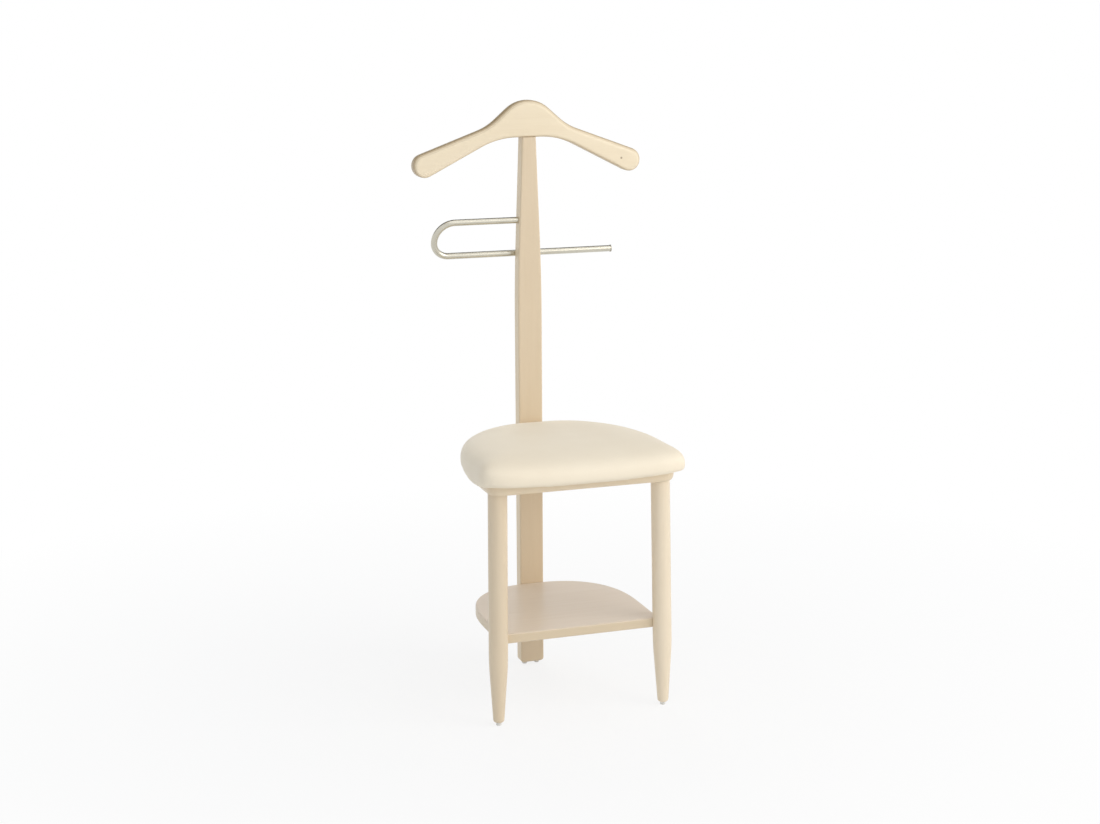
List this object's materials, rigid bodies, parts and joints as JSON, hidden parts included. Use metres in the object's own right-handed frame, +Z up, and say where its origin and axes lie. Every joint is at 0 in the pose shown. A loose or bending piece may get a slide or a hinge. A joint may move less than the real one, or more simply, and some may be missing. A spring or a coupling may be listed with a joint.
{
  "type": "clothes valet chair",
  "caption": "Clothes valet chair: upright post with a wooden coat hanger, a bent trouser bar, a padded D-shaped seat, a lower shelf and turned front legs.",
  "frame": {"origin": "on the floor, under the middle of the overall bounding box", "axes": "+Z up, +X to the right of someone who stands in front and looks at the chair, +Y towards the back, where the post stands"},
  "size_m": [0.444, 0.3696, 1.0999],
  "materials": {
    "wood": "pale ivory satin lacquer, fine straight grain",
    "dowel_wood": "raw beech",
    "plywood": "raw plywood",
    "steel_tube": "satin nickel",
    "bar_fittings": "satin nickel",
    "zinc_steel": "bright zinc",
    "brass": "turned brass",
    "foam": "open foam, modelled as solid",
    "cover": "smooth cream leathercloth, satin",
    "white_plastic": "plain white"
  },
  "bodies": {
    "root": {"post": "wood", "hanger": "wood", "hanger_dowels": "dowel_wood", "trouser_bar": "steel_tube", "bar_end_plug": "bar_fittings", "bar_screw": "bar_fittings", "seat_board": "wood", "cushion_base": "plywood", "cushion_foam": "foam", "cushion_cover": "cover", "cover_staples": "zinc_steel", "cushion_screws": "zinc_steel", "left_leg": "wood", "right_leg": "wood", "leg_bolts": "zinc_steel", "leg_inserts": "brass", "shelf": "wood", "shelf_leg_dowels": "dowel_wood", "seat_post_screws": "zinc_steel", "shelf_post_screws": "zinc_steel", "screw_caps": "wood", "leg_glides": "white_plastic", "post_glides": "white_plastic", "glide_nails": "zinc_steel"}
  },
  "joints": []
}
